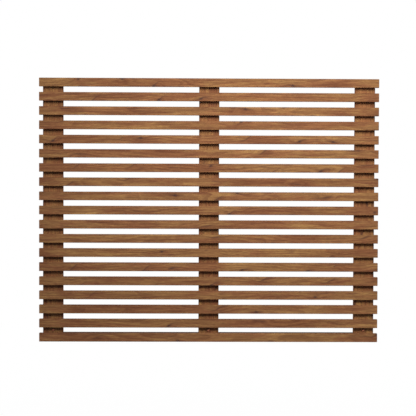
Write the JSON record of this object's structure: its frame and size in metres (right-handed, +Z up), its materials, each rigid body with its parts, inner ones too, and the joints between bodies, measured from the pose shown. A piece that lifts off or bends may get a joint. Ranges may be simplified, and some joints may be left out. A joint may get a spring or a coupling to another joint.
{
  "type": "slatted headboard",
  "caption": "Wall-hung wooden headboard of horizontal slats on uprights, which lifts off a metal hanging rail on the wall.",
  "frame": {"origin": "middle of the width and of the whole depth, at the height of the underside of the lowest slat", "axes": "+Z up, -Y to the front (room side), +Y to the wall, +X to the right as seen from the front"},
  "size_m": [1.575, 0.049, 1.2244],
  "materials": {
    "slat_wood": "satin",
    "upright_wood": "satin",
    "spacer_wood": "satin",
    "button_wood": "satin",
    "hanger_aluminium": "satin",
    "screw_steel": "satin"
  },
  "bodies": {
    "hanging_rail": {"wall_rail": "hanger_aluminium"},
    "panel": {"slat_01": "slat_wood", "slat_02": "slat_wood", "slat_03": "slat_wood", "slat_04": "slat_wood", "slat_05": "slat_wood", "slat_06": "slat_wood", "slat_07": "slat_wood", "slat_08": "slat_wood", "slat_09": "slat_wood", "slat_10": "slat_wood", "slat_11": "slat_wood", "slat_12": "slat_wood", "slat_13": "slat_wood", "slat_14": "slat_wood", "slat_15": "slat_wood", "slat_16": "slat_wood", "slat_17": "slat_wood", "slat_18": "slat_wood", "slat_19": "slat_wood", "upright_left": "upright_wood", "slat_screws_left": "screw_steel", "foot_button_left": "button_wood", "hanger_clip_left": "hanger_aluminium", "clip_screws_left": "screw_steel", "upright_centre": "upright_wood", "slat_screws_centre": "screw_steel", "foot_button_centre": "button_wood", "hanger_clip_centre": "hanger_aluminium", "clip_screws_centre": "screw_steel", "upright_right": "upright_wood", "slat_screws_right": "screw_steel", "foot_button_right": "button_wood", "hanger_clip_right": "hanger_aluminium", "clip_screws_right": "screw_steel", "wall_spacer": "spacer_wood", "spacer_screws": "screw_steel"}
  },
  "joints": [
    {"name": "lift_off", "type": "slide", "parent": "hanging_rail", "child": "panel", "axis": [0, 0, 1], "range_m": [0, 0.015]}
  ]
}
